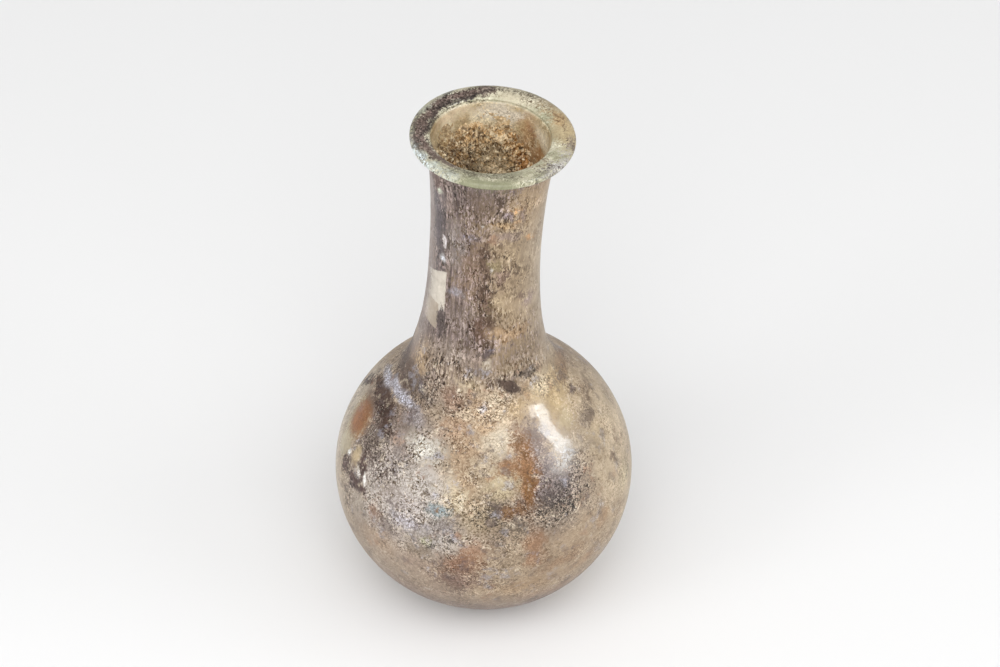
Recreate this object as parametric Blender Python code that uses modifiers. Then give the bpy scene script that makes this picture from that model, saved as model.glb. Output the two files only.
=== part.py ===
"""A small free-blown glass perfume flask: a globular body on a flattened base, a tall neck that leans a
little, and a rim that was folded inwards and pressed nearly flat.

The flask is one hollow piece of glass. Metres, +Z up. The origin is the centre of the flattened base, on the
surface that the flask stands on. The neck leans towards +X.
"""

import math

import bpy

MM = 0.001

# Body: a globe, slightly flatter than a sphere, whose underside was pressed flat to stand on.
BODY_RADIUS = 29.0 * MM
BODY_HALF_HEIGHT = 28.0 * MM
BODY_CENTRE_HEIGHT = 26.5 * MM
BODY_WALL = 1.3 * MM
FLOOR_THICKNESS = 1.9 * MM

# Neck: springs from the shoulder in one concave sweep, narrows to a waist and opens again below the rim.
SHOULDER_RADIUS = 18.4 * MM
SHOULDER_EASE = 5.0 * MM
NECK_ROOT_RADIUS = 11.8 * MM
NECK_ROOT_HEIGHT = 62.5 * MM
NECK_ROOT_TAPER = 0.18
NECK_WAIST_RADIUS = 10.55 * MM
NECK_WAIST_HEIGHT = 82.0 * MM
NECK_TOP_RADIUS = 12.5 * MM
NECK_TOP_HEIGHT = 105.2 * MM
NECK_TOP_FLARE = 0.27
NECK_WALL = 1.5 * MM

# Rim: the lip was folded in, so its edge is a slim roll, and its top face ends at a small step inside.
FLASK_HEIGHT = 107.8 * MM
RIM_RADIUS = 15.6 * MM
RIM_EDGE_RADIUS = 0.8 * MM
MOUTH_RADIUS = 11.4 * MM
MOUTH_DIP = 0.55 * MM
FOLD_STEP = 0.45 * MM

# The neck was set a little off the body's axis, and leans.
NECK_OFFSET = -0.5 * MM
NECK_LEAN = math.radians(2.75)
OFFSET_START_HEIGHT = 40.0 * MM
LEAN_START_HEIGHT = 50.0 * MM
LEAN_FULL_HEIGHT = 58.0 * MM

# Facets: the outside, which shows most, is turned finer than the inside.
TURN_STEPS = 48
OUTER_BODY_STEPS = 17
INNER_BODY_STEPS = 12
OUTER_SWEEP_STEPS = 6
INNER_SWEEP_STEPS = 4
ROLL_STEPS = 5
WELD_DISTANCE = 0.05 * MM

GLASS_COLOUR = (0.57, 0.53, 0.42, 1.0)
GLASS_ROUGHNESS = 0.35


def clear_scene():
    """Removes every object that the scene starts with."""
    for old in list(bpy.data.objects):
        bpy.data.objects.remove(old, do_unlink=True)


def ellipse_arc(radius, half_height, start, end, steps):
    """Points (radius, height) of a turned ellipse about the body's centre, from one latitude to another."""
    arc = []
    for step in range(steps + 1):
        latitude = start + (end - start) * step / steps
        height = BODY_CENTRE_HEIGHT + half_height * math.sin(latitude)
        arc.append((radius * math.cos(latitude), height))
    return arc


def bezier(start, start_handle, end_handle, end, steps):
    """Points of a cubic curve, without its first point."""
    curve = []
    for step in range(1, steps + 1):
        t = step / steps
        weights = ((1 - t) ** 3, 3 * t * (1 - t) ** 2, 3 * t**2 * (1 - t), t**3)
        handles = (start, start_handle, end_handle, end)
        curve.append(tuple(sum(w * p[axis] for w, p in zip(weights, handles)) for axis in (0, 1)))
    return curve


def neck_sweep(shoulder, shoulder_latitude, wall, steps):
    """The neck's side from the shoulder point up to the rim, set inwards by the wall."""
    root = (NECK_ROOT_RADIUS - wall, NECK_ROOT_HEIGHT)
    waist = (NECK_WAIST_RADIUS - wall, NECK_WAIST_HEIGHT)
    top = (NECK_TOP_RADIUS - wall, NECK_TOP_HEIGHT)
    leave = (
        shoulder[0] - SHOULDER_EASE * math.sin(shoulder_latitude),
        shoulder[1] + SHOULDER_EASE * math.cos(shoulder_latitude),
    )
    rise = 0.45 * (root[1] - shoulder[1])
    arrive = (root[0] + NECK_ROOT_TAPER * rise, root[1] - rise)
    sweep = bezier(shoulder, leave, arrive, root, steps + 2)
    climb = waist[1] - root[1]
    taper = (root[0] - NECK_ROOT_TAPER * 0.25 * climb, root[1] + 0.25 * climb)
    sweep += bezier(root, taper, (waist[0], waist[1] - 0.35 * climb), waist, steps)
    climb = top[1] - waist[1]
    flare = (top[0] - NECK_TOP_FLARE * 0.2 * climb, top[1] - 0.2 * climb)
    sweep += bezier(waist, (waist[0], waist[1] + 0.38 * climb), flare, top, steps)
    return sweep


def rim_profile():
    """The rim, from the top of the neck's inside, over the fold, to the top of its outside."""
    roll_radius = RIM_RADIUS - RIM_EDGE_RADIUS
    roll_height = FLASK_HEIGHT - RIM_EDGE_RADIUS
    mouth_height = FLASK_HEIGHT - MOUTH_DIP
    edge_slack = 0.25 * FOLD_STEP
    rim = [
        (MOUTH_RADIUS - 2.0 * edge_slack, mouth_height - 1.5 * FOLD_STEP),
        (MOUTH_RADIUS + edge_slack, mouth_height - FOLD_STEP),
        (MOUTH_RADIUS, mouth_height - edge_slack),
        (MOUTH_RADIUS + 2.0 * edge_slack, mouth_height + edge_slack),
        (0.5 * (MOUTH_RADIUS + roll_radius), FLASK_HEIGHT - 0.35 * MOUTH_DIP),
    ]
    for step in range(ROLL_STEPS + 1):
        turn = math.radians(100.0) - math.radians(190.0) * step / ROLL_STEPS
        radius = roll_radius + RIM_EDGE_RADIUS * math.cos(turn)
        rim.append((radius, roll_height + RIM_EDGE_RADIUS * math.sin(turn)))
    under_radius = 0.5 * (NECK_TOP_RADIUS + roll_radius)
    rim.append((under_radius, 0.5 * (NECK_TOP_HEIGHT + roll_height - RIM_EDGE_RADIUS)))
    return rim


def flask_profile():
    """The whole wall as one line, from the axis inside, up, over the rim and down outside to the axis."""
    shoulder_latitude = math.acos(SHOULDER_RADIUS / BODY_RADIUS)
    standing_latitude = -math.asin(BODY_CENTRE_HEIGHT / BODY_HALF_HEIGHT)
    outer_body = ellipse_arc(
        BODY_RADIUS, BODY_HALF_HEIGHT, standing_latitude, shoulder_latitude, OUTER_BODY_STEPS
    )
    outer_neck = neck_sweep(outer_body[-1], shoulder_latitude, 0.0, OUTER_SWEEP_STEPS)
    inner_half_height = BODY_HALF_HEIGHT - BODY_WALL
    floor_latitude = -math.asin((BODY_CENTRE_HEIGHT - FLOOR_THICKNESS) / inner_half_height)
    inner_body = ellipse_arc(
        BODY_RADIUS - BODY_WALL, inner_half_height, floor_latitude, shoulder_latitude, INNER_BODY_STEPS
    )
    inner_neck = neck_sweep(inner_body[-1], shoulder_latitude, NECK_WALL, INNER_SWEEP_STEPS)
    floor_centre = [(0.0, FLOOR_THICKNESS)]
    base_centre = [(0.0, 0.0)]
    inside = floor_centre + inner_body + inner_neck
    outside = outer_body + outer_neck
    return inside + rim_profile() + outside[::-1] + base_centre


def smooth_step(value, low, high):
    """0 below low, 1 above high, and an even ease between them."""
    share = min(max((value - low) / (high - low), 0.0), 1.0)
    return share * share * (3.0 - 2.0 * share)


def lean_neck(mesh):
    """Shifts the neck off the body's axis and leans it, and leaves the body and the base as turned."""
    for vertex in mesh.vertices:
        x, height = vertex.co.x, vertex.co.z
        shift = NECK_OFFSET * smooth_step(height, OFFSET_START_HEIGHT, LEAN_FULL_HEIGHT)
        angle = NECK_LEAN * smooth_step(height, LEAN_START_HEIGHT, LEAN_FULL_HEIGHT)
        above = max(height - LEAN_FULL_HEIGHT, 0.0)
        vertex.co.x = shift + x * math.cos(angle) + above * math.sin(angle)
        vertex.co.z = height - above + above * math.cos(angle) - x * math.sin(angle)
    mesh.update()


def glass_material():
    """Weathered glass, as one plain finish."""
    material = bpy.data.materials.new("weathered_glass")
    material.use_nodes = True
    shader = material.node_tree.nodes["Principled BSDF"]
    shader.inputs["Base Color"].default_value = GLASS_COLOUR
    shader.inputs["Roughness"].default_value = GLASS_ROUGHNESS
    shader.inputs["Metallic"].default_value = 0.0
    material.diffuse_color = GLASS_COLOUR
    return material


def build_flask(collection):
    """Turns the wall's profile about the axis, then leans the neck."""
    points = [(radius, 0.0, height) for radius, height in flask_profile()]
    edges = [(i, i + 1) for i in range(len(points) - 1)]
    line = bpy.data.meshes.new("flask_profile")
    line.from_pydata(points, edges, [])
    turned = bpy.data.objects.new("flask_profile", line)
    collection.objects.link(turned)
    screw = turned.modifiers.new("Turn", "SCREW")
    screw.axis = "Z"
    screw.steps = TURN_STEPS
    screw.render_steps = TURN_STEPS
    screw.use_merge_vertices = True
    screw.merge_threshold = WELD_DISTANCE
    graph = bpy.context.evaluated_depsgraph_get()
    mesh = bpy.data.meshes.new_from_object(turned.evaluated_get(graph))
    bpy.data.objects.remove(turned, do_unlink=True)
    mesh.name = "flask"
    lean_neck(mesh)
    flask = bpy.data.objects.new("flask", mesh)
    mesh.materials.clear()
    mesh.materials.append(glass_material())
    mesh.shade_smooth()
    mesh.set_sharp_from_angle(angle=math.radians(50.0))
    collection.objects.link(flask)
    return flask


def main():
    clear_scene()
    collection = bpy.data.collections.new("perfume_flask")
    bpy.context.scene.collection.children.link(collection)
    build_flask(collection)


main()
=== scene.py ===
"""A small free-blown glass perfume flask, weathered in the ground: its looks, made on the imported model."""

import math

import bpy
from mathutils import Euler, Matrix, Vector


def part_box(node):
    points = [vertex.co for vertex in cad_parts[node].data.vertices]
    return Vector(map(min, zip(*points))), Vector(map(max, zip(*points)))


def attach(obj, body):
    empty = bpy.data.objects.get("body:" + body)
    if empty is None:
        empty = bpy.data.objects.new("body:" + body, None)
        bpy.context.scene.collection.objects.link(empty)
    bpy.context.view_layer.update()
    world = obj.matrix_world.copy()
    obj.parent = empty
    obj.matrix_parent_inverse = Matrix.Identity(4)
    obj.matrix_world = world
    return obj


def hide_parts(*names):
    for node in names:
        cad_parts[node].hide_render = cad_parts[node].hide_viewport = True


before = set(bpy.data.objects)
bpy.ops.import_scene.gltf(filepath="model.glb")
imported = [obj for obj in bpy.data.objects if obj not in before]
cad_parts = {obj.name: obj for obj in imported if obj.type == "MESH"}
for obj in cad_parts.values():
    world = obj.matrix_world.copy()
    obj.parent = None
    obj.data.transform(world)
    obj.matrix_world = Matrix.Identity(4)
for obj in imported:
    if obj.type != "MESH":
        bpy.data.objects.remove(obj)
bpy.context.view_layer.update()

# ----------------------------------------
# THE FLASK. One piece of pale green glass, blown free of any mould: a globe whose underside was pressed flat,
# a neck drawn out of it that leans a little, and a lip folded inwards and pressed nearly flat. Lying in the
# ground gave it a brown, buff and mauve crust, and bare glass shows only where the crust came off.
# ----------------------------------------

MM = 0.001
flask_low, flask_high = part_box("flask")

GLOBE_RADIUS = 0.5 * (flask_high.y - flask_low.y)
GLOBE_HALF_HEIGHT = 28.0 * MM
GLOBE_CENTRE = 26.5 * MM
GLOBE_WALL = 1.3 * MM
FLOOR_THICKNESS = 1.9 * MM
SHOULDER_RADIUS = 18.4 * MM
SHOULDER_EASE = 5.0 * MM
NECK_ROOT = (11.8 * MM, 62.5 * MM)
NECK_WAIST = (10.55 * MM, 82.0 * MM)
NECK_TOP = (12.5 * MM, 105.2 * MM)
NECK_WALL = 1.5 * MM
ROOT_TAPER = 0.18
TOP_FLARE = 0.27
BASE_EDGE_TURN = 0.05


def globe_arc(wall, low_latitude, high_latitude, steps=120):
    """The globe's side as (radius, height) points, set inwards by the wall."""
    arc = []
    for step in range(steps + 1):
        latitude = low_latitude + (high_latitude - low_latitude) * step / steps
        height = GLOBE_CENTRE + (GLOBE_HALF_HEIGHT - wall) * math.sin(latitude)
        arc.append(((GLOBE_RADIUS - wall) * math.cos(latitude), height))
    return arc


def drawn_curve(start, start_pull, end_pull, end, steps=60):
    """A smooth curve between two points, pulled towards one handle as it leaves and another as it arrives."""
    curve = []
    for step in range(1, steps + 1):
        t = step / steps
        weights = ((1 - t) ** 3, 3 * t * (1 - t) ** 2, 3 * t**2 * (1 - t), t**3)
        pulls = (start, start_pull, end_pull, end)
        curve.append(tuple(sum(w * p[i] for w, p in zip(weights, pulls)) for i in (0, 1)))
    return curve


def neck_side(shoulder, latitude, wall):
    """The neck's side, from the shoulder up to the rim, set inwards by the wall."""
    root = (NECK_ROOT[0] - wall, NECK_ROOT[1])
    waist = (NECK_WAIST[0] - wall, NECK_WAIST[1])
    top = (NECK_TOP[0] - wall, NECK_TOP[1])
    leave = (
        shoulder[0] - SHOULDER_EASE * math.sin(latitude),
        shoulder[1] + SHOULDER_EASE * math.cos(latitude),
    )
    rise = 0.45 * (root[1] - shoulder[1])
    side = drawn_curve(shoulder, leave, (root[0] + ROOT_TAPER * rise, root[1] - rise), root)
    climb = waist[1] - root[1]
    taper = (root[0] - ROOT_TAPER * 0.25 * climb, root[1] + 0.25 * climb)
    side += drawn_curve(root, taper, (waist[0], waist[1] - 0.35 * climb), waist)
    climb = top[1] - waist[1]
    flare = (top[0] - TOP_FLARE * 0.2 * climb, top[1] - 0.2 * climb)
    side += drawn_curve(waist, (waist[0], waist[1] + 0.38 * climb), flare, top)
    return side


def eased(before, start, end, after, t):
    """A number that goes from start to end as t goes from 0 to 1, on a smooth line through all four."""
    return 0.5 * (
        2 * start
        + (end - before) * t
        + (2 * before - 5 * start + 4 * end - after) * t**2
        + (3 * start - before - 3 * end + after) * t**3
    )


def rounded(corners, steps=12):
    """A smooth line through these points."""
    line = [corners[0]]
    for i in range(len(corners) - 1):
        four = [corners[min(max(i + k, 0), len(corners) - 1)] for k in (-1, 0, 1, 2)]
        for step in range(1, steps + 1):
            line.append(tuple(eased(*sides, step / steps) for sides in zip(*four)))
    return line


def spaced(line, gap):
    """The same line with its points evenly spaced, about a gap apart."""
    reach = [0.0]
    for a, b in zip(line, line[1:]):
        reach.append(reach[-1] + math.dist(a, b))
    count = max(round(reach[-1] / gap), 1)
    points = []
    i = 0
    for step in range(count + 1):
        want = reach[-1] * step / count
        while i < len(line) - 2 and reach[i + 1] < want:
            i += 1
        share = (want - reach[i]) / max(reach[i + 1] - reach[i], 1e-12)
        points.append(tuple(line[i][k] + share * (line[i + 1][k] - line[i][k]) for k in (0, 1)))
    return points


shoulder_latitude = math.acos(SHOULDER_RADIUS / GLOBE_RADIUS)
standing_latitude = -math.asin(GLOBE_CENTRE / GLOBE_HALF_HEIGHT)
floor_latitude = -math.asin((GLOBE_CENTRE - FLOOR_THICKNESS) / (GLOBE_HALF_HEIGHT - GLOBE_WALL))

outer_globe = globe_arc(0.0, standing_latitude + BASE_EDGE_TURN, shoulder_latitude)
outer_neck = neck_side(outer_globe[-1], shoulder_latitude, 0.0)
inner_globe = globe_arc(GLOBE_WALL, floor_latitude, shoulder_latitude)
inner_neck = neck_side(inner_globe[-1], shoulder_latitude, NECK_WALL)

# The rim in section: the funnel of the mouth, the step where the folded glass ends, the flat top, the roll.
rim_inside = [(r * MM, z * MM) for r, z in (
    (11.0, 105.2), (11.1, 106.1), (11.25, 106.62), (11.52, 106.82), (11.38, 107.1), (11.6, 107.37),
    (12.3, 107.6), (13.2, 107.78), (14.1, 107.8), (14.8, 107.76),
)]
rim_outside = [(r * MM, z * MM) for r, z in (
    (14.8, 107.76), (15.25, 107.6), (15.53, 107.3), (15.6, 106.95), (15.48, 106.6), (15.15, 106.33),
    (14.5, 106.1), (13.6, 105.72), (12.95, 105.45), (12.5, 105.2),
)]
# The globe turns into its flat underside over a soft edge.
base_radius, base_height = outer_globe[0]
base_edge = [
    (base_radius, base_height),
    (base_radius - 1.1 * MM, 0.12 * MM),
    (base_radius - 2.2 * MM, 0.0),
]

# The whole wall as two runs of points: from the floor up the inside to the lip, and from the lip down the
# outside to the middle of the base. The points stand closest on the rim.
inner_run = spaced([(0.0, FLOOR_THICKNESS), inner_globe[0]], 1.3 * MM)
inner_run += spaced(inner_globe, 1.5 * MM)[1:]
inner_run += spaced(inner_globe[-1:] + inner_neck, 1.0 * MM)[1:]
inner_run += spaced(rounded(rim_inside), 0.24 * MM)[1:]
outer_run = spaced(rounded(rim_outside), 0.24 * MM)[1:]
outer_run += spaced(outer_neck[::-1], 0.66 * MM)[1:]
outer_run += spaced(outer_neck[:1] + outer_globe[::-1], 0.66 * MM)[1:]
outer_run += spaced(rounded(base_edge), 0.4 * MM)[1:]
outer_run += spaced([base_edge[-1], (0.0, 0.0)], 1.2 * MM)[1:]
outer_side = outer_globe + outer_neck


def outer_place(height):
    """The outside's radius at a height, and how far its face leans back there."""
    for (r0, z0), (r1, z1) in zip(outer_side, outer_side[1:]):
        if z0 <= height < z1:
            return r0 + (r1 - r0) * (height - z0) / (z1 - z0), math.atan2(r0 - r1, z1 - z0)
    return outer_side[-1][0], 0.0


def tint(red, green, blue):
    """A surface colour, from display values between 0 and 255."""
    return tuple(((value / 255.0 + 0.055) / 1.055) ** 2.4 for value in (red, green, blue)) + (1.0,)


class Bench:
    """A bench for one node tree. Each call puts in a node, feeds it, and hands back what comes out."""

    def __init__(self, tree):
        self.tree = tree

    def put(self, kind, feeds=None, **settings):
        node = self.tree.nodes.new(kind)
        for name, value in settings.items():
            setattr(node, name, value)
        self.feed_all(node.inputs, feeds or {})
        return node

    def one(self, kind, feeds=None, **settings):
        """Puts in a node and hands back its first output."""
        return self.put(kind, feeds, **settings).outputs[0]

    def feed_all(self, sockets, feeds):
        for name, value in feeds.items():
            self.feed(sockets[name], value)

    def feed(self, socket, value):
        if isinstance(value, bpy.types.NodeSocket):
            self.tree.links.new(value, socket)
        else:
            socket.default_value = value

    def sum(self, operation, *values, clamp=False):
        feeds = dict(enumerate(values))
        return self.one("ShaderNodeMath", feeds, operation=operation, use_clamp=clamp)

    def times(self, first, second):
        return self.sum("MULTIPLY", first, second)

    def plus(self, first, second):
        return self.sum("ADD", first, second)

    def minus(self, first, second):
        return self.sum("SUBTRACT", first, second)

    def vector(self, operation, *values):
        node = self.put("ShaderNodeVectorMath", dict(enumerate(values)), operation=operation)
        return node.outputs[1 if operation in ("LENGTH", "DOT_PRODUCT") else 0]

    def moved(self, place, push):
        return self.vector("ADD", place, push)

    def scaled(self, push, scale):
        return self.one("ShaderNodeVectorMath", {0: push, 3: scale}, operation="SCALE")

    def join(self, x, y, z):
        return self.one("ShaderNodeCombineXYZ", {0: x, 1: y, 2: z})

    def split(self, vector):
        return self.put("ShaderNodeSeparateXYZ", {0: vector}).outputs

    def channels(self, colour):
        return self.put("ShaderNodeSeparateColor", {0: colour}).outputs

    def noise(self, place, size, detail=2.0, roughness=0.5):
        feeds = {"Vector": place, "Scale": 1.0 / size, "Detail": detail, "Roughness": roughness}
        return self.put("ShaderNodeTexNoise", feeds).outputs

    def sway(self, noise, reach):
        """A push of up to half the reach each way, taken from a noise."""
        return self.scaled(self.vector("SUBTRACT", noise[1], (0.5, 0.5, 0.5)), reach)

    def ramp(self, value, low, high, start=0.0, end=1.0, smooth=True):
        """Goes from start to end as the value goes from low to high, and no further either way."""
        feeds = {0: value, 1: low, 2: high, 3: start, 4: end}
        kind = "SMOOTHSTEP" if smooth else "LINEAR"
        return self.one("ShaderNodeMapRange", feeds, interpolation_type=kind, clamp=not smooth)

    def mix(self, share, first, second):
        """Mixes two colours or two feels. A colour may be three display values, and a feel is always four."""
        feeds = {0: share}
        for socket, side in ((6, first), (7, second)):
            feeds[socket] = tint(*side) if isinstance(side, tuple) and len(side) == 3 else side
        return self.put("ShaderNodeMix", feeds, data_type="RGBA").outputs[2]


def new_finish(name):
    """A material, the bench for its nodes, and the inputs of its shader."""
    material = bpy.data.materials.new(name)
    material.use_nodes = True
    return material, Bench(material.node_tree), material.node_tree.nodes["Principled BSDF"].inputs


def new_tree(name, sizes):
    """An empty geometry tree with a named input for each size, and its bench, inputs and output."""
    tree = bpy.data.node_groups.new(name, "GeometryNodeTree")
    kinds = {float: "NodeSocketFloat", int: "NodeSocketInt", bpy.types.Material: "NodeSocketMaterial"}
    tree.interface.new_socket("Geometry", in_out="INPUT", socket_type="NodeSocketGeometry")
    for label, value in sizes.items():
        tree.interface.new_socket(label, in_out="INPUT", socket_type=kinds[type(value)])
    tree.interface.new_socket("Geometry", in_out="OUTPUT", socket_type="NodeSocketGeometry")
    bench = Bench(tree)
    return bench, bench.put("NodeGroupInput").outputs, bench.put("NodeGroupOutput").inputs[0]


def placed(name, data):
    """An object in the scene, made of this data."""
    thing = bpy.data.objects.new(name, data)
    bpy.context.scene.collection.objects.link(thing)
    return thing


def made_by(tree, name, line, sizes):
    """Runs a tree on a line of (radius, height) points and keeps the result as a plain mesh object."""
    edges = [(i, i + 1) for i in range(len(line) - 1)]
    profile = bpy.data.meshes.new(name + "_line")
    profile.from_pydata([(radius, 0.0, height) for radius, height in line], edges, [])
    turning = placed(name + "_line", profile)
    modifier = turning.modifiers.new("Turn", "NODES")
    modifier.node_group = tree
    for item in tree.interface.items_tree:
        if item.in_out == "INPUT" and item.name in sizes:
            modifier[item.identifier] = sizes[item.name]
    graph = bpy.context.evaluated_depsgraph_get()
    mesh = bpy.data.meshes.new_from_object(
        turning.evaluated_get(graph), preserve_all_data_layers=True, depsgraph=graph
    )
    turning.modifiers.remove(modifier)
    bpy.data.objects.remove(turning, do_unlink=True)
    bpy.data.meshes.remove(profile)
    mesh.name = name
    return placed(name, mesh)


def turned_grid(bench, inputs):
    """A grid wrapped round the axis: its columns go round, and its rows follow the line's points."""
    columns = bench.plus(inputs["Columns"], 1)
    grid = bench.put("GeometryNodeMeshGrid", {0: 1.0, 1: 1.0, 2: columns, 3: inputs["Rows"]})
    spot = bench.split(bench.one("GeometryNodeInputPosition"))
    angle = bench.times(spot[0], 2.0 * math.pi)
    last = bench.minus(inputs["Rows"], 1)
    row = bench.sum("ROUND", bench.times(bench.plus(spot[1], 0.5), last))
    feeds = {0: inputs["Geometry"], 1: bench.one("GeometryNodeInputPosition"), 2: row}
    on_line = bench.one("GeometryNodeSampleIndex", feeds, data_type="FLOAT_VECTOR", domain="POINT")
    radius, _, height = bench.split(on_line)
    x = bench.times(radius, bench.sum("SINE", angle))
    y = bench.times(radius, bench.times(bench.sum("COSINE", angle), -1.0))
    turned = bench.join(x, y, height)
    return grid, row, turned


def keep(bench, geometry, name, value, data_type, domain="POINT"):
    """Stores a value on the mesh under a name."""
    feeds = {"Geometry": geometry, "Name": name, "Value": value}
    return bench.one("GeometryNodeStoreNamedAttribute", feeds, data_type=data_type, domain=domain)


def stored(bench, name, data_type="FLOAT"):
    """Reads a value that was stored on the mesh."""
    return bench.one("GeometryNodeInputNamedAttribute", {0: name}, data_type=data_type)


def welded(bench, grid, turned, marks):
    """Moves a grid's points to where they were turned and welds its seam. The points keep that place and any
    marks."""
    shape = keep(bench, grid.outputs[0], "UVMap", grid.outputs[1], "FLOAT2", "CORNER")
    shape = keep(bench, shape, "turned", turned, "FLOAT_VECTOR")
    for name, value in marks.items():
        shape = keep(bench, shape, name, value, "FLOAT")
    was_turned = stored(bench, "turned", "FLOAT_VECTOR")
    shape = bench.one("GeometryNodeSetPosition", {"Geometry": shape, "Position": was_turned})
    shape = bench.one("GeometryNodeMergeByDistance", {"Geometry": shape, "Distance": WELD})
    return shape, was_turned


def finished(bench, shape, material, output):
    """Smooths a shape, makes it real, gives it its material and hands it out of the tree."""
    shape = bench.one("GeometryNodeSetShadeSmooth", {0: shape})
    shape = bench.one("GeometryNodeRealizeInstances", {0: shape})
    bench.feed(output, bench.one("GeometryNodeSetMaterial", {0: shape, 2: material}))


def lean(bench, geometry, inputs):
    """Sets the neck off the axis, leans it and bows it a little, and leaves the globe as it was turned."""
    place = bench.one("GeometryNodeInputPosition")
    height = bench.split(place)[2]
    shift = bench.ramp(height, inputs["Offset start"], inputs["Lean full"], 0.0, inputs["Neck offset"])
    angle = bench.ramp(height, inputs["Lean start"], inputs["Lean full"], 0.0, inputs["Neck lean"])
    above = bench.sum("MAXIMUM", bench.minus(height, inputs["Lean full"]), 0.0)
    along = bench.ramp(height, inputs["Lean full"], inputs["Neck top"], 0.0, math.pi, smooth=False)
    bow = bench.times(bench.sum("SINE", along), inputs["Neck bow"])
    pivot = bench.join(0.0, 0.0, bench.minus(height, above))
    leaned = bench.one("ShaderNodeVectorRotate", {0: place, 1: pivot, 3: angle}, rotation_type="Y_AXIS")
    moved = bench.moved(leaned, bench.join(bench.plus(shift, bow), 0.0, 0.0))
    return bench.one("GeometryNodeSetPosition", {"Geometry": geometry, "Position": moved})


# --- the finish: crust, stains, film and bare glass ---

GREEN_GLASS = (182, 168, 138)
SAND = (164, 138, 108)
OCHRE = (160, 124, 88)
RUST = (112, 75, 34)
BRICK = (134, 102, 82)
UMBER = (82, 60, 46)
SOOT = (42, 34, 30)
MAUVE = (136, 120, 112)
PLUM = (88, 68, 62)
SLATE = (110, 102, 98)
SILVER = (176, 168, 160)
LILAC = (170, 166, 176)
SKY = (132, 146, 150)
WHITE = (228, 224, 218)
OLIVE = (166, 150, 120)
FILM_AND_EDGE_GLOW = (187, 168, 141)

glass, bench, shader = new_finish("weathered_glass")

GRAIN_CELL = 0.24 * MM
STREAK_GRAIN = 0.6 * MM
MERIDIAN_RADIUS = 11.0 * MM
DRAWN_FROM = 56.0 * MM
DRAWN_OUT = -0.6

turned = bench.put("ShaderNodeAttribute", attribute_name="turned").outputs["Vector"]
inside = bench.put("ShaderNodeAttribute", attribute_name="inside").outputs["Fac"]
height_here = bench.split(turned)[2]
up_the_neck = bench.sum("MAXIMUM", bench.minus(height_here, DRAWN_FROM), 0.0)
up_the_neck = bench.times(up_the_neck, bench.minus(1.0, inside))
# On the neck the grain runs up and down, as the glass was drawn.
drawn = bench.moved(turned, bench.join(0.0, 0.0, bench.times(up_the_neck, DRAWN_OUT)))
cloud = bench.noise(turned, 14.0 * MM, detail=3.0)
flake = bench.noise(turned, 4.5 * MM, detail=7.0, roughness=0.66)
grain = bench.noise(drawn, 0.8 * MM, detail=3.0, roughness=0.75)
drift = bench.sway(cloud, 9.0 * MM)
fray = bench.sway(flake, 8.0 * MM)
crumb = bench.sway(grain, 1.2 * MM)
# Stains laid at these places have soft, ragged or nearly clean outlines.
places = {
    "soft": bench.moved(turned, bench.moved(drift, crumb)),
    "ragged": bench.moved(turned, bench.moved(fray, crumb)),
    "sharp": bench.moved(turned, bench.scaled(bench.moved(fray, crumb), 0.4)),
}
mottle = bench.ramp(flake[0], 0.3, 0.7, -1.0, 1.0, smooth=False)
cell_feeds = {"Vector": bench.moved(drawn, crumb), "Scale": 1.0 / GRAIN_CELL}
cell = bench.put("ShaderNodeTexVoronoi", cell_feeds)
cell_tone, cell_chance, _ = bench.channels(cell.outputs["Color"])
speck = bench.sum("MULTIPLY_ADD", cell_tone, 1.6, bench.ramp(grain[0], 0.32, 0.68, -1.1, -0.5))
# Streaks keep their place round the flask, and change only slowly with height.
round_only = bench.vector("NORMALIZE", bench.vector("MULTIPLY", turned, (1.0, 1.0, 0.0)))
meridian = bench.scaled(round_only, MERIDIAN_RADIUS)
streak_place = bench.moved(meridian, bench.vector("MULTIPLY", turned, (0.0, 0.0, 0.06)))
streak = bench.noise(streak_place, STREAK_GRAIN, detail=4.0, roughness=0.75)[0]

# "colour" is what the surface looks like. "feel" holds three things: how grainy it is, how clear, how rough.
coat = {
    "colour": bench.mix(bench.ramp(cloud[0], 0.38, 0.62), (140, 122, 104), (170, 150, 126)),
    "feel": (0.8, 0.03, 0.5, 1.0),
}


def lay_on(cover, colour, feel):
    """Changes the coat's colour, its feel or both, as far as a cover reaches."""
    if colour is not None:
        coat["colour"] = bench.mix(cover, coat["colour"], colour)
    if feel is not None:
        coat["feel"] = bench.mix(cover, coat["feel"], feel + (1.0,))


def stain(angle, height, wide, tall, colour=None, feel=None, turn=0.0, edge=0.35, grit=0.3, share=1.0,
          place="ragged", radius=None, slope=None):
    """Lays an oval of colour or feel on the coat. The angle goes round from the front, to the right. The
    height, and the half sizes wide and tall, are in millimetres. Turn tips its right end down, edge is how
    widely its outline fades, grit how much the grain frays it, and share how much of it shows."""
    wall_radius, lean_back = outer_place(height * MM)
    if radius is not None:
        wall_radius, lean_back = radius * MM, math.radians(slope)
    round_to = math.radians(angle)
    spin = (
        Matrix.Rotation(round_to, 3, "Z")
        @ Matrix.Rotation(-lean_back, 3, "X")
        @ Matrix.Rotation(math.radians(turn), 3, "Y")
    )
    spot = (wall_radius * math.sin(round_to), -wall_radius * math.cos(round_to), height * MM)
    # The oval is as deep as it takes to hold a frayed place, and larger by what edge and grit eat away.
    deep = max(4.0, 0.45 * max(wide, tall))
    reach = 1.0 + edge + grit
    feeds = {
        "Vector": places[place],
        "Location": spot,
        "Rotation": spin.to_euler("XYZ"),
        "Scale": (wide * reach * MM, deep * reach * MM, tall * reach * MM),
    }
    oval = bench.one("ShaderNodeMapping", feeds, vector_type="TEXTURE")
    near = bench.put("ShaderNodeTexGradient", {0: oval}, gradient_type="SPHERICAL").outputs[1]
    near = bench.sum("MULTIPLY_ADD", speck, -grit / reach, near)
    cover = bench.ramp(near, grit / reach, (grit + 2.0 * edge) / reach, 0.0, share)
    lay_on(cover, colour, feel)
    return cover


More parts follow.
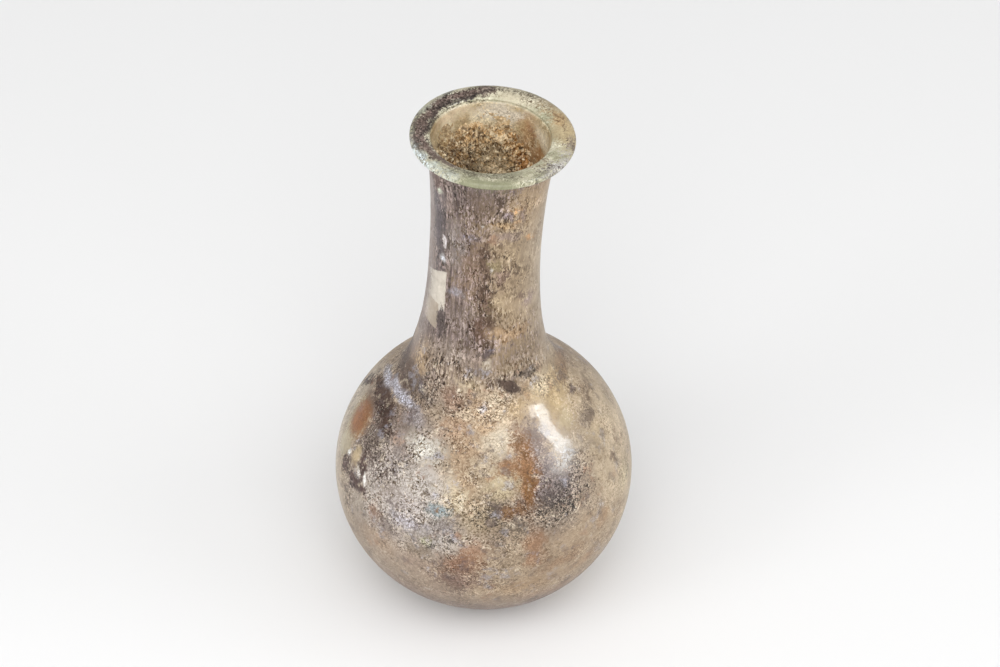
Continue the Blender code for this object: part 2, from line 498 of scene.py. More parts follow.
def stains(rows, lay=stain, **how):
    """Lays a stain for each row of angle, height, wide, tall, colour, share and, where it is tipped, turn."""
    for angle, height, wide, tall, colour, share, *turn in rows:
        lay(angle, height, wide, tall, colour, share=share, turn=turn[0] if turn else 0.0, **how)


# How the surface feels: smooth film, gritty crust, bare glass, and film that shines.
SMOOTH = (0.5, 0.03, 0.40)
GRITTY = (1.05, 0.01, 0.5)
BARE = (0.08, 0.14, 0.18)
GLOSSY = (0.15, 0.03, 0.06)

# Broad zones of the globe, back to front. The pale zones at its right and left edges are partly film and
# partly painted light shining through the thin wall there.
stains([
    (180, 30, 42, 34, SAND, 1),
    (150, 34, 16, 12, MAUVE, 0.7),
    (205, 26, 18, 14, BRICK, 0.5),
    # Partly film, partly painted light shining through the wall at the right edge.
    (82, 34, 16, 22, FILM_AND_EDGE_GLOW, 1),
    (74, 53, 8, 6, (166, 144, 113), 0.9),
    (-96, 24, 13, 18, (190, 176, 158), 1),
    (0, 5, 36, 10, (127, 108, 96), 0.95),
    (-38, 20, 14, 8, (150, 132, 114), 0.9),
    (36, 21, 17, 9, (159, 138, 113), 0.9),
    (8, 25, 7, 7, (146, 128, 106), 0.8),
    (-62, 46.2, 10, 4.5, (118, 102, 94), 0.9),
    (-42, 47.5, 7, 4, (136, 122, 112), 0.8),
    (-38, 35, 17, 11, (174, 165, 157), 0.9),
    (-5, 41, 7, 9, (162, 144, 118), 0.8),
    (-100, 37, 6, 12, (198, 186, 168), 0.8),
    (10, 51, 8, 6, (176, 156, 130), 0.9),
    (-38, 54, 8, 5, (138, 122, 106), 0.9),
    (-75, 53, 10, 5, (108, 90, 76), 0.95),
    (58, 51, 7, 5, (194, 170, 130), 0.8),
], edge=0.5, place="soft")

for angle, height, wide, tall, feel in (
    (180, 30, 40, 34, SMOOTH),
    (80, 30, 17, 26, SMOOTH),
    (-96, 22, 13, 18, SMOOTH),
    (0, 8, 34, 9, SMOOTH),
    (-45, 18, 12, 8, (0.5, 0.02, 0.4)),
    (40, 22, 16, 10, (0.5, 0.02, 0.4)),
    (-35, 40, 17, 13, GRITTY),
    (-20, 55, 12, 5, (1.4, 0, 0.5)),
):
    stain(angle, height, wide, tall, None, feel, edge=0.5, place="soft")

# The shoulder: the neck's brown streaks fan out over it and end in frayed tongues.
streaked = bench.mix(bench.ramp(streak, 0.38, 0.62), (104, 88, 78), (168, 150, 130))
stains([
    (-35, 57.5, 5.5, 5, streaked, 0.8),
    (-20, 60, 4, 4, streaked, 0.8),
    (-85, 57, 4, 4, streaked, 0.6),
    (5, 61, 4, 3, streaked, 0.5),
], edge=0.6, grit=0.5)
stains([
    (-64, 57.5, 2.6, 3.6, (178, 152, 120), 0.85),
    (-90, 54, 6, 4, UMBER, 0.9),
    (-74, 51.6, 4.6, 1.5, (84, 66, 56), 0.9, 5),
    (-48, 52.5, 3, 1.3, (104, 92, 84), 0.7),
    (-52, 53.2, 1, 1.2, (92, 88, 96), 0.7),
    (-22, 54, 2.6, 1.8, BRICK, 0.6),
    (-30, 50.5, 2.6, 1.5, (150, 132, 112), 0.7),
    (-10, 57, 2.4, 1.6, (186, 168, 138), 0.6),
    (-18, 49.5, 2.4, 2.2, (168, 134, 104), 0.6),
    (0, 53, 2.6, 1.6, (150, 118, 86), 0.5, 10),
    (14, 54.8, 2.4, 1.4, (182, 166, 142), 0.7),
    (28, 52, 2, 2, (176, 150, 112), 0.6),
    (40, 54.5, 1, 2.4, OCHRE, 0.65, 20),
    (56, 54.5, 3.6, 2.2, (196, 180, 152), 0.7),
    (46, 59.6, 3.2, 1, UMBER, 0.6, 14),
    (30, 61, 2.4, 1.6, (150, 138, 112), 0.6),
], edge=0.5, grit=0.5)

# The front of the globe: tan and cream crust, and a sooty grey patch to its right.
stains([
    (-13, 46, 2.2, 4, OCHRE, 0.4),
    (-5, 47.5, 1.8, 2, OCHRE, 0.4),
    (-7, 41, 2.2, 3.4, (158, 128, 96), 0.5),
    (-14, 40, 1.6, 2.6, (190, 172, 142), 0.7),
    (4, 45, 2.2, 1.8, (182, 166, 142), 0.7),
    (11, 47.8, 3.8, 2.6, (190, 176, 154), 0.95),
    (2, 50, 2.6, 1.6, (170, 134, 96), 0.45),
    (29, 46.8, 3.2, 4.4, (146, 130, 120), 0.8),
    (-2, 36, 5, 3, (138, 120, 94), 0.7),
    (31, 40, 7.6, 5.4, (116, 104, 102), 0.85),
    (46, 44, 4.5, 2.6, (150, 136, 118), 0.6),
    (32, 33.4, 8, 2.6, (140, 126, 112), 0.6),
    (27, 43, 3, 4.4, (128, 114, 110), 0.85),
    (30, 47.5, 2.2, 3, (128, 114, 108), 0.7),
], edge=0.5, grit=0.5)
stain(33, 40, 9, 6.5, None, (1.25, 0.0, 0.34), edge=0.4)
stains([
    (27, 37.4, 4.4, 2.6, SOOT, 0.62),
    (36, 36.6, 2.6, 2.2, SOOT, 0.5),
    (25, 41.6, 2.6, 2.4, (86, 76, 76), 0.5),
    (5, 37.4, 3.4, 2, SOOT, 0.6),
    (13, 34, 3.8, 2, SOOT, 0.55),
    (44, 42.5, 2.6, 1.6, (88, 80, 76), 0.5),
], edge=0.55, grit=1.0)
# Rust that ran down and hooked to the left, round a smooth olive patch.
stain(11, 42, 4, 2.7, OLIVE, (0.6, 0.03, 0.4), edge=0.5, grit=0.4, share=0.85)
stain(21, 43.4, 2.2, 6.6, (146, 100, 52), edge=0.6, grit=0.4, share=0.9, turn=4)
stain(21, 46.4, 0.8, 3.4, RUST, (0.6, 0.0, 0.35), edge=0.5, grit=0.3, share=0.9, turn=-12)
stain(21, 41, 1.3, 3.8, RUST, (0.6, 0.0, 0.35), edge=0.5, grit=0.3, share=0.95)
stain(15, 37.2, 2.6, 1, (112, 78, 46), edge=0.5, grit=0.5, share=0.85, turn=-18)
stain(12, 44, 2.8, 1, (130, 86, 42), edge=0.6, grit=0.5, share=0.85, turn=24)
stain(9.5, 36.8, 1.5, 1.3, RUST, edge=0.6, grit=0.6, share=0.7)
stain(4, 42.8, 1.4, 0.8, OCHRE, edge=0.5, share=0.7)
# The film shines on the right shoulder. Below the shine, a patch of pale flecks is a painted glint of
# sparkling grains.
stain(40, 48.2, 7.6, 6.4, None, GLOSSY, edge=0.25, place="soft", grit=0.4)
stain(39, 42.2, 1.5, 1.2, (214, 210, 206), edge=0.5, grit=1.5, share=0.6)

# The right of the globe: smooth film with a few smudges.
stains([
    (72, 44.8, 1.9, 1.2, UMBER, 0.6),
    (78, 48.8, 1.8, 0.5, UMBER, 0.6),
    (86, 46.6, 6.5, 0.6, UMBER, 0.5),
    (88, 52.5, 4.5, 2.2, (140, 112, 84), 0.7),
    (62, 58.5, 2.6, 2.4, (172, 152, 130), 0.7),
    (58, 42.2, 1.8, 1.1, SLATE, 0.5),
    (68, 36.6, 0.8, 1.1, UMBER, 0.6),
    (79, 38.8, 1, 1.3, (130, 108, 88), 0.5),
    (78, 48.8, 0.8, 0.9, (96, 74, 58), 0.8),
    (70, 45.2, 2.4, 1.5, (110, 94, 80), 0.7, 20),
    (84, 46.8, 2, 1.4, (118, 96, 74), 0.7, 20),
    (69, 35.9, 0.7, 1.6, (120, 100, 82), 0.6),
    (102, 51, 5, 1.4, (126, 98, 70), 0.8, 6),
    (56, 47.5, 2.2, 1.4, (196, 180, 150), 0.7),
    (65, 42, 4, 3, (168, 148, 118), 0.6),
    (54, 28, 1.8, 1.8, OCHRE, 0.5),
    (74, 31, 3, 3, (186, 172, 138), 0.5),
    (62, 25.5, 3.4, 2.4, (176, 152, 122), 0.5),
], edge=0.55)

# The underside and the foot of the globe: film, brown clouds and a few rubs.
stains([
    (20, 28.5, 1.8, 4.4, (140, 104, 76), 0.8),
    (-8, 25.5, 4.4, 2.6, (126, 92, 70), 0.95, -15),
    (-9, 21, 4.8, 2.8, (110, 84, 72), 0.85),
    (-2, 29.5, 2, 2.6, (150, 112, 84), 0.6),
    (-44, 25, 5, 2.8, (156, 132, 108), 0.7),
    (-26, 24, 3.2, 3.4, (146, 126, 110), 0.7),
    (32, 23, 5, 1.4, (142, 108, 78), 0.5, -20),
    (44, 20, 5, 1.2, (160, 132, 102), 0.5, -20),
    (15, 18.5, 6, 2.2, (168, 140, 108), 0.6),
    (-30, 15, 7, 2.2, (138, 116, 100), 0.6),
    (28, 14, 7, 1.8, (150, 122, 100), 0.5),
], edge=0.6, grit=0.5)

# The left front: silvery flaking crust, with spots of blue, violet, green and black.
stains([
    # The first, palest patch is white flakes with a painted highlight of the left light on them.
    (-32, 46, 4, 2.8, (200, 194, 182), 0.85),
    (-25, 41, 4.4, 3, SILVER, 0.7),
    (-47, 42.5, 3, 3, (132, 124, 122), 0.6),
    (-50, 45, 2.2, 1.2, (168, 132, 104), 0.4),
    (-40, 44, 2.4, 1.5, (128, 112, 104), 0.5),
    (-45, 37, 4, 2, (140, 126, 116), 0.5, 35),
    (-33, 36, 4, 2.4, (170, 160, 156), 0.6),
    (-30, 32.5, 3.8, 2, LILAC, 0.6),
    (-38, 29.5, 3.6, 2.2, (130, 116, 110), 0.6),
    (-47, 31.5, 1.5, 2.8, BRICK, 0.8),
    (-60, 29.5, 4, 2.4, (150, 138, 124), 0.6),
    (-22, 31, 3.6, 2, (150, 142, 136), 0.7),
    (-16, 33.6, 2.4, 1.6, (112, 104, 102), 0.7),
    (-24, 27.5, 3, 2.6, (132, 118, 100), 0.6),
    (-22, 29.6, 0.9, 0.8, (160, 160, 116), 0.5),
    (-18, 36.8, 2.6, 1.3, SKY, 0.9),
    (-18, 36.8, 0.5, 0.5, OCHRE, 0.9),
    (-10, 39.4, 1.2, 2, (214, 200, 172), 0.8),
], edge=0.5, grit=0.6)
stain(-33, 45.8, 4.6, 2.4, None, (1.4, 0.0, 0.24), edge=0.5)
stain(-12, 31.2, 1, 0.8, SOOT, edge=0.5, grit=0.8, share=0.75)
stain(-20, 28.9, 1.2, 0.9, SOOT, edge=0.5, grit=0.8, share=0.7)

# The left side: dark crust round a window where it has come off, with rust showing from within.
stain(-64, 42, 7, 4.2, (104, 90, 82), GRITTY, edge=0.4, grit=0.6, share=0.9)
stain(-52, 43, 3.6, 3, (138, 126, 118), edge=0.5, grit=0.8, share=0.6)
stain(-58, 39, 3.4, 2.2, (84, 68, 62), edge=0.5, grit=0.6, share=0.7)
stain(-82, 41.5, 4.5, 4.8, (170, 154, 122), BARE, edge=0.18, place="sharp", grit=0.15)
stain(-80, 36, 3.2, 2.6, GREEN_GLASS, BARE, edge=0.2, place="sharp", grit=0.15)
stain(-82, 45, 3.2, 1.9, (94, 72, 56), (0.3, 0.05, 0.3), edge=0.5, share=0.85, place="sharp")
stain(-80, 42, 3.5, 3.6, (136, 88, 48), (0.3, 0.02, 0.3), edge=0.45, place="sharp", turn=-30)
stain(-103, 44, 3.4, 1.5, (70, 52, 44), GRITTY, edge=0.35, place="sharp", turn=-50)
stain(-88, 46.8, 5.5, 0.9, UMBER, GRITTY, edge=0.35, place="sharp", turn=-4)
stain(
    -76, 47.4, 6.6, 1.8, (72, 53, 44), (0.6, 0.0, 0.5), edge=0.35, grit=0.2, place="sharp", share=0.95,
    turn=4,
)
stain(-68, 46.2, 5, 1.2, (68, 48, 38), GRITTY, edge=0.35, place="sharp", turn=4)
stain(-60, 44.9, 2.4, 1.8, (68, 48, 38), GRITTY, edge=0.4, share=0.9)
stain(-72, 34.4, 1.6, 2.8, PLUM, GRITTY, edge=0.3, place="sharp", turn=20)
stain(-61, 33.4, 3.8, 1.5, PLUM, GRITTY, edge=0.3, place="sharp")
stain(-60, 37.4, 1.5, 3, PLUM, GRITTY, edge=0.3, place="sharp", turn=-15)
stain(-67, 37.6, 1.6, 2.2, (176, 156, 124), SMOOTH, edge=0.35, place="sharp")
stains([
    (-73, 36.6, 0.5, 0.9, WHITE, 1, 30),
    (-61.5, 35.7, 0.5, 0.9, WHITE, 1, -30),
    (-57, 35.6, 0.5, 1.3, WHITE, 1, -10),
], edge=0.3, place="sharp")
# A band of lavender film that crosses the shoulder above the window.
lavender = bench.mix(bench.ramp(speck, -0.2, 0.6), (142, 136, 140), (188, 186, 194))
stains([
    (-92, 48.4, 4.4, 1.1, lavender, 1, -12),
    (-76, 49.6, 4.2, 1, lavender, 1, -2),
    (-59, 50.1, 3.8, 1, lavender, 0.95, 2),
    (-47, 48.6, 2.6, 1.6, lavender, 0.4, 8),
], feel=(0.7, 0.02, 0.3), edge=0.5, grit=0.25, place="sharp")

# Smudges and flakes a few millimetres across, all over the crust, fainter where the film is smooth.
crusty = bench.ramp(bench.channels(coat["feel"])[0], 0.3, 0.9, 0.35, 1.0)
for offset, size, low, high, colour, share in (
    (0.00, 3.4, 0.55, 0.66, (92, 78, 74), 0.70),
    (0.03, 2.8, 0.57, 0.68, (204, 190, 168), 0.60),
    (0.066, 4.6, 0.58, 0.70, (142, 102, 76), 0.60),
    (0.09, 3.8, 0.57, 0.68, (146, 144, 152), 0.60),
):
    away = bench.moved(turned, (offset, 0.0, offset))
    smudge = bench.ramp(bench.noise(away, size * MM, detail=5.0, roughness=0.68)[0], low, high, 0.0, share)
    lay_on(bench.times(smudge, crusty), colour, None)

# Fine scratches that cross the left front slantwise.
SCRATCH = (84, 66, 56)
places["straight"] = turned
stains([
    (-48.5, 38.8, 4.4, 0.20, SCRATCH, 0.85, -62),
    (-46, 39.6, 3.4, 0.17, SCRATCH, 0.7, -62),
    (-51.5, 39.4, 3, 0.17, SCRATCH, 0.7, -62),
], edge=0.5, place="straight")

# The neck: dark and finely streaked on the left, tan and mottled on the right.
neck_cover = bench.ramp(height_here, 58.0 * MM, 66.0 * MM)
neck_tone = bench.mix(bench.ramp(streak, 0.38, 0.62), (76, 62, 58), (146, 128, 120))
lay_on(neck_cover, neck_tone, (1.35, 0.01, 0.5))
tan_side = bench.mix(bench.ramp(streak, 0.3, 0.7), (136, 116, 92), (162, 142, 114))
stain(38, 84, 8.8, 25, tan_side, (0.95, 0.02, 0.45), edge=0.35, place="soft", grit=0.6)
# Lighter strips along the neck's right and left edges: partly smooth film, partly painted highlight.
stain(80, 84, 6, 26, (170, 152, 128), SMOOTH, edge=0.5, place="soft")
stain(-86, 84, 5.6, 26, (150, 136, 130), SMOOTH, edge=0.35, place="soft")
stain(180, 82, 14, 28, SAND, SMOOTH, edge=0.4, place="soft", share=0.8)
stain(-150, 88, 4, 12, MAUVE, edge=0.5, share=0.7)
stain(140, 74, 4, 9, OLIVE, edge=0.5, share=0.7)
stains([
    (-56, 91, 1.9, 11, (86, 78, 80), 0.9),
    (-57, 101, 2, 2.2, (110, 82, 72), 0.7),
    (-28, 76.5, 2, 1, (144, 142, 150), 0.6),
    (-16, 91, 1.4, 1.1, (108, 106, 122), 0.6),
    (-34, 88, 2.2, 6, (138, 130, 124), 0.5),
    (-12, 84, 2.6, 7, (122, 98, 82), 0.55),
    (-22, 70, 3.4, 4, (118, 104, 96), 0.6),
    (-30, 63, 4, 2.6, (156, 142, 130), 0.6),
    (-6, 99, 3.6, 3.6, (96, 78, 64), 0.6),
    (-1.5, 86.5, 1, 6.5, UMBER, 0.8),
    (2.5, 76.5, 1.8, 4.4, UMBER, 0.95),
    (3, 69.5, 1.6, 4, UMBER, 0.95),
    (12, 78.6, 1.9, 0.7, UMBER, 0.7),
    (10, 65, 1.3, 0.6, (84, 78, 86), 0.85),
    (2, 61.4, 1.3, 0.9, (196, 184, 166), 0.7),
    (15, 75, 2.2, 2.2, (180, 160, 130), 0.7),
    (17, 82, 1.6, 1.6, (122, 98, 90), 0.7),
    (22, 91.5, 3, 1.5, (134, 116, 108), 0.7),
    (18, 97.5, 1, 0.9, (132, 118, 122), 0.8),
    (27, 97.8, 0.9, 0.7, (196, 150, 98), 0.9),
    (15, 95, 1.4, 1.1, (178, 148, 108), 0.7),
    (27, 95, 1.2, 0.8, (182, 148, 112), 0.7),
    (34, 96.5, 0.9, 1.8, (122, 104, 102), 0.7),
    (6, 90.6, 1.4, 0.7, (146, 112, 88), 0.6),
    (6, 84, 1.1, 1.6, (158, 146, 108), 0.5),
    (48, 89.6, 1.4, 0.5, (188, 142, 96), 0.8),
    (30, 68, 3.4, 1.9, (172, 142, 108), 0.7),
    (40, 100, 3.4, 4, (172, 146, 112), 0.5),
    (60, 98, 3, 6, (178, 152, 120), 0.45),
    (8, 100.5, 0.7, 2.6, (66, 48, 36), 0.8),
    (12, 98, 0.5, 1.6, (66, 48, 36), 0.7),
    (42, 75.6, 0.9, 0.8, (104, 82, 72), 0.7),
    (55, 74, 1.4, 1.6, (146, 126, 124), 0.6),
], edge=0.5, grit=0.6)

# Three dark smudges where the neck joins the globe. The lowest is nearly black, with a clean edge.
stain(
    25, 56.6, 3.1, 1.1, (66, 49, 39), (0.8, 0.0, 0.5), edge=0.25, grit=0.15, share=0.96, place="sharp",
    turn=44,
)
stain(44, 58.6, 3, 1, (96, 84, 74), edge=0.6, grit=0.6, share=0.8, turn=14)
stain(5, 63.6, 2.6, 0.9, (78, 66, 66), edge=0.5, grit=0.6, share=0.8, turn=-25)

# Where the neck's crust has flaked off: pale glass with straight, clean edges.
PLATE_BACK = math.radians(-80)
PLATE_EDGE = 0.1 * MM
plate_place = bench.moved(turned, bench.scaled(crumb, 0.5))
back_tangent = (math.cos(PLATE_BACK), math.sin(PLATE_BACK), 0.0)
for edge_angle, foot, head, tilt, colour in (
    (-43, 71.3, 80.6, 0.5, (209, 199, 184)),
    (-51, 66.2, 72.0, 0.0, (181, 166, 148)),
):
    tangent = (math.cos(math.radians(edge_angle)), math.sin(math.radians(edge_angle)), 0.0)
    past_edge = bench.ramp(bench.vector("DOT_PRODUCT", plate_place, tangent), 0.08 * MM, -0.08 * MM)
    past_back = bench.ramp(bench.vector("DOT_PRODUCT", places["sharp"], back_tangent), -0.6 * MM, 3.4 * MM)
    upright = (-tilt * tangent[0], -tilt * tangent[1], 1.0)
    plate_height = bench.vector("DOT_PRODUCT", plate_place, upright)
    plate_height = bench.minus(plate_height, 0.5 * (foot + head) * MM)
    half_plate = 0.5 * (head - foot) * MM
    off_middle = bench.sum("ABSOLUTE", plate_height)
    between = bench.ramp(off_middle, half_plate + PLATE_EDGE, half_plate - PLATE_EDGE)
    plate = bench.times(bench.times(past_edge, past_back), between)
    lay_on(plate, colour, BARE)
stain(-46, 68.5, 1.2, 3.6, (88, 76, 72), GRITTY, edge=0.25, place="sharp")
stain(-47, 87.3, 0.55, 1.5, (204, 196, 194), SMOOTH, edge=0.15, place="sharp", grit=0.1)
stain(-50, 83.6, 1, 0.8, (186, 184, 186), edge=0.4, place="sharp", grit=0.6)
stain(-54, 99, 0.8, 0.7, (176, 176, 158), edge=0.4, place="sharp")
stain(-7, 94.3, 0.28, 0.4, WHITE, edge=0.4, place="sharp", share=0.6)
stain(5, 83.5, 0.28, 0.4, WHITE, edge=0.4, place="sharp", share=0.5)

# The rim: bare green glass, with brown crust from the left front round to the back.
rim_cover = bench.ramp(height_here, 104.6 * MM, 105.6 * MM)
rim_tone = bench.mix(bench.ramp(flake[0], 0.4, 0.6), (181, 178, 149), (207, 200, 174))
lay_on(rim_cover, rim_tone, (0.45, 0.12, 0.24))


def rim_stain(angle, radius, wide, tall, colour, feel=None, **how):
    """A stain on the rim's top face: wide goes round the rim, and tall across it."""
    return stain(angle, 107.5, wide, tall, colour, feel, radius=radius, slope=90.0, **how)


CRUST = (106, 88, 79)
rim_stain(150, 13.8, 9, 2.2, (214, 204, 178), edge=0.5, place="soft")
rim_stain(95, 13.6, 8, 2.4, (196, 177, 139), edge=0.5, place="soft")
rim_stain(-130, 15, 9, 1.1, (206, 206, 186), (0.2, 0.4, 0.18), edge=0.5, place="soft")
stains([
    (-62, 12.9, 4, 1.4, CRUST, 0.95),
    (-78, 13.7, 4.4, 2, CRUST, 1),
    (-98, 13.5, 4.2, 2, CRUST, 1),
    (-118, 12.8, 3.6, 1.4, CRUST, 1),
    (-137, 13.1, 4, 1.6, CRUST, 1),
    (-157, 13, 4, 1.5, CRUST, 1),
    (-174, 13.4, 2.6, 1.6, CRUST, 0.9),
    (-42, 12.2, 4, 0.8, CRUST, 0.9),
], rim_stain, feel=(1.5, 0.0, 0.5), edge=0.28, grit=0.4, place="sharp")
# A dark line along the step where the folded lip ends, at the left and the back: partly dirt, partly painted
# shadow of the step.
stains([
    (-110, 11.9, 12, 0.5, (52, 38, 32), 0.7),
    (-150, 11.9, 8, 0.5, (52, 38, 32), 0.8),
], rim_stain, edge=0.5, place="sharp")
for angle, radius, wide, tall, colour, feel, edge, grit, share, turn in (
    (-75, 15, 5, 0.8, (150, 150, 146), GRITTY, 0.6, 1, 0.8, 0),
    # The next two rows are pale crust on the roll with painted glints on it.
    (-60, 15.3, 6, 0.8, (206, 214, 214), GRITTY, 0.5, 0.8, 1, 0),
    (-40, 14.8, 4.5, 0.8, (200, 206, 198), GRITTY, 0.5, 0.8, 0.8, 0),
    (160, 14.6, 4.4, 0.9, (96, 90, 76), GRITTY, 0.6, 1.3, 0.75, 0),
    (135, 14.2, 5, 1.2, (130, 116, 92), GRITTY, 0.6, 1.4, 0.6, 0),
    (118, 13.8, 3.4, 1.5, (198, 168, 124), None, 0.6, 0.8, 0.75, 0),
    (122, 13.6, 1.2, 0.5, (126, 92, 56), None, 0.6, 1, 0.7, 0),
    (104, 14, 2.6, 0.25, (120, 96, 70), None, 0.6, 0.8, 0.7, 12),
    (80, 15, 2.2, 0.7, (120, 106, 104), GRITTY, 0.6, 1, 0.7, 0),
    (56, 14.6, 3.4, 1, (204, 200, 196), GRITTY, 0.5, 1.1, 0.9, 0),
    (44, 14.6, 2.8, 0.8, (112, 104, 102), GRITTY, 0.6, 1.3, 0.7, 0),
    (48, 12.6, 2, 0.5, (120, 92, 60), GRITTY, 0.6, 1.2, 0.6, 0),
    (-8, 12.6, 7, 0.9, (128, 124, 104), GRITTY, 0.6, 1, 0.75, 0),
):
    rim_stain(angle, radius, wide, tall, colour, feel, edge=edge, grit=grit, share=share, turn=turn)
rim_stain(0, 15.4, 13, 1.9, (146, 146, 116), (0.1, 0.2, 0.14), edge=0.5, share=0.95, place="soft")

# Inside, a tan film over the glass, and the pale clean funnel just under the lip.
film_tone = bench.mix(bench.ramp(cloud[0], 0.4, 0.6), (176, 150, 118), (200, 184, 156))
funnel = bench.ramp(height_here, 99.0 * MM, 103.0 * MM)
funnel_tone = bench.mix(bench.ramp(flake[0], 0.4, 0.6), (182, 160, 122), (208, 193, 162))
film_tone = bench.mix(funnel, film_tone, funnel_tone)
below_rim = bench.ramp(height_here, 106.9 * MM, 106.5 * MM)
# Soil clings to the film in specks, which thin out towards the lip.
clinging = bench.noise(turned, 1.1 * MM, detail=5.0, roughness=0.75)[0]
clinging = bench.minus(clinging, bench.ramp(height_here, 98.0 * MM, 105.0 * MM, 0.0, 0.2))
film_tone = bench.mix(bench.ramp(clinging, 0.44, 0.50, 0.0, 0.8), film_tone, (132, 98, 62))
for angle, height, wide, tall, colour, share in (
    # Painted highlight: the whitish patch at the back, just under the lip.
    (165, 105, 6, 1.5, (224, 215, 198), 0.8),
    (138, 103.4, 2, 2.6, (178, 138, 96), 0.7),
    (121, 103, 2.8, 0.6, (150, 96, 62), 0.85),
    (108, 103.4, 3.4, 1.6, (214, 202, 178), 0.8),
    (104, 99.6, 3.6, 1.8, (184, 132, 82), 0.7),
    (-135, 105, 5, 1, (222, 200, 170), 0.7),
):
    patch = stain(angle, height, wide, tall, radius=11.0, slope=-14.0, edge=0.5, grit=0.6, share=share)
    film_tone = bench.mix(patch, film_tone, colour)
bare_here = bench.channels(coat["feel"])[1]
in_film = bench.times(bench.times(inside, below_rim), bench.ramp(bare_here, 0.3, 0.15))
lay_on(in_film, film_tone, (0.5, 0.08, 0.4))

# Mottle and grain. Both take more off the blue than off the red, so that what is darkened stays warm. Where
# the crust is grainy, single grains turn dark brown or pale. The pale ones are partly painted glints of
# sparkling grains.
MOTTLE_DEPTH = (0.24, 0.26, 0.28)
GRAIN_DEPTH = (0.74, 0.82, 0.92)
DARK_GRAIN = (0.34, 0.28, 0.22)
WHOLE = (1.0, 1.0, 1.0)
graininess, clearness, roughness = bench.channels(coat["feel"])
patchy = bench.ramp(bench.channels(flake[1])[2], 0.42, 0.58, 0.5, 1.3)
graininess = bench.times(graininess, patchy)
mottling = bench.vector("MULTIPLY_ADD", mottle, MOTTLE_DEPTH, WHOLE)
speckled = bench.vector("MULTIPLY", coat["colour"], mottling)
grainy = bench.times(speck, graininess)
gleam = bench.vector("MULTIPLY_ADD", bench.join(grainy, grainy, grainy), GRAIN_DEPTH, WHOLE)
speckled = bench.vector("MULTIPLY", speckled, bench.vector("MAXIMUM", gleam, (0.05, 0.05, 0.05)))
dark_grain = bench.sum("MULTIPLY", bench.ramp(cell_chance, 0.14, 0.08, 0.0, 0.8), graininess, clamp=True)
speckled = bench.mix(dark_grain, speckled, bench.vector("MULTIPLY", speckled, DARK_GRAIN))
off_neck = bench.ramp(height_here, 60.0 * MM, 56.0 * MM, 0.35, 1.0)
off_neck = bench.times(bench.ramp(graininess, 0.7, 1.3), off_neck)
# Pale grains, partly real and partly painted glints.
pale_grain_and_glint = bench.times(bench.ramp(cell_chance, 0.90, 0.94, 0.0, 0.6), off_neck)
speckled = bench.mix(pale_grain_and_glint, speckled, (234, 220, 200))
relief = bench.sum("MULTIPLY_ADD", flake[0], 3.0, speck)
bumpiness = bench.times(graininess, 0.6)
bump_feeds = {"Strength": bumpiness, "Distance": 0.05 * MM, "Height": relief}
bench.feed_all(shader, {
    "Base Color": speckled,
    "Roughness": roughness,
    "Transmission Weight": clearness,
    "Normal": bench.one("ShaderNodeBump", bump_feeds),
    "IOR": 1.5,
    "Metallic": 0.0,
    "Specular IOR Level": 0.35,
})

# --- the shape ---

WELD = 0.004 * MM
WOBBLE_LENGTH = 26.0 * MM
MOUTH_SHIFT_FROM = 95.0 * MM
MOUTH_SHIFT_FULL = 106.0 * MM

NECK_SIZES = {
    "Neck offset": -0.5 * MM,
    "Neck lean": math.radians(2.75),
    "Neck bow": -0.22 * MM,
    "Neck top": NECK_TOP[1],
    "Offset start": 40.0 * MM,
    "Lean start": 50.0 * MM,
    "Lean full": 58.0 * MM,
    "Mouth shift": -0.35 * MM,
    "Wobble": 0.22 * MM,
}
FLASK_SIZES = {
    **NECK_SIZES,
    "Columns": 280,
    "Rows": len(inner_run) + len(outer_run),
    "Lip row": len(inner_run) - 1,
    "Crust relief": 0.10 * MM,
    "Glass": glass,
}
bench, inputs, output = new_tree("blown_flask", FLASK_SIZES)
grid, row, turned = turned_grid(bench, inputs)
last_inside = bench.minus(inputs["Lip row"], 0.5)
first_outside = bench.plus(inputs["Lip row"], 0.5)
within = bench.ramp(row, last_inside, first_outside, 1.0, 0.0, smooth=False)
shape, was_turned = welded(bench, grid, turned, {"inside": within})
was_inside = stored(bench, "inside")
# The hand-made unevenness goes the same way inside and out, so the wall keeps its thickness.
height = bench.split(was_turned)[2]
standing = bench.ramp(height, 0.3 * MM, 5.0 * MM)
outward = bench.vector("NORMALIZE", bench.vector("MULTIPLY", was_turned, (1.0, 1.0, 0.0)))
swell = bench.minus(bench.noise(was_turned, WOBBLE_LENGTH, detail=1.0)[0], 0.5)
swell = bench.times(swell, standing)
swell = bench.times(swell, bench.times(inputs["Wobble"], 2.0))
# The hole of the mouth sits a little to one side of the rim's middle.
mouth_side = bench.vector("LENGTH", bench.vector("MULTIPLY", was_turned, (1.0, 1.0, 0.0)))
mouth = bench.ramp(height, MOUTH_SHIFT_FROM, MOUTH_SHIFT_FULL)
mouth = bench.times(mouth, bench.ramp(mouth_side, 14.7 * MM, 11.5 * MM))
mouth = bench.times(bench.times(mouth, was_inside), inputs["Mouth shift"])
uneven = bench.moved(bench.scaled(outward, swell), bench.join(mouth, 0.0, 0.0))
# The crust stands out from the glass by a hair.
crusted = bench.noise(was_turned, 2.2 * MM, detail=4.0, roughness=0.6)[0]
crusted = bench.times(bench.minus(crusted, 0.5), inputs["Crust relief"])
crusted = bench.times(crusted, standing)
normal = bench.one("GeometryNodeInputNormal")
uneven = bench.moved(uneven, bench.scaled(normal, crusted))
shape = bench.one("GeometryNodeSetPosition", {"Geometry": shape, "Offset": uneven})
shape = lean(bench, shape, inputs)
# The rows climb the inside and come down the outside, so the faces are flipped to point out of the glass.
shape = bench.one("GeometryNodeFlipFaces", {"Mesh": shape})
finished(bench, shape, inputs["Glass"], output)

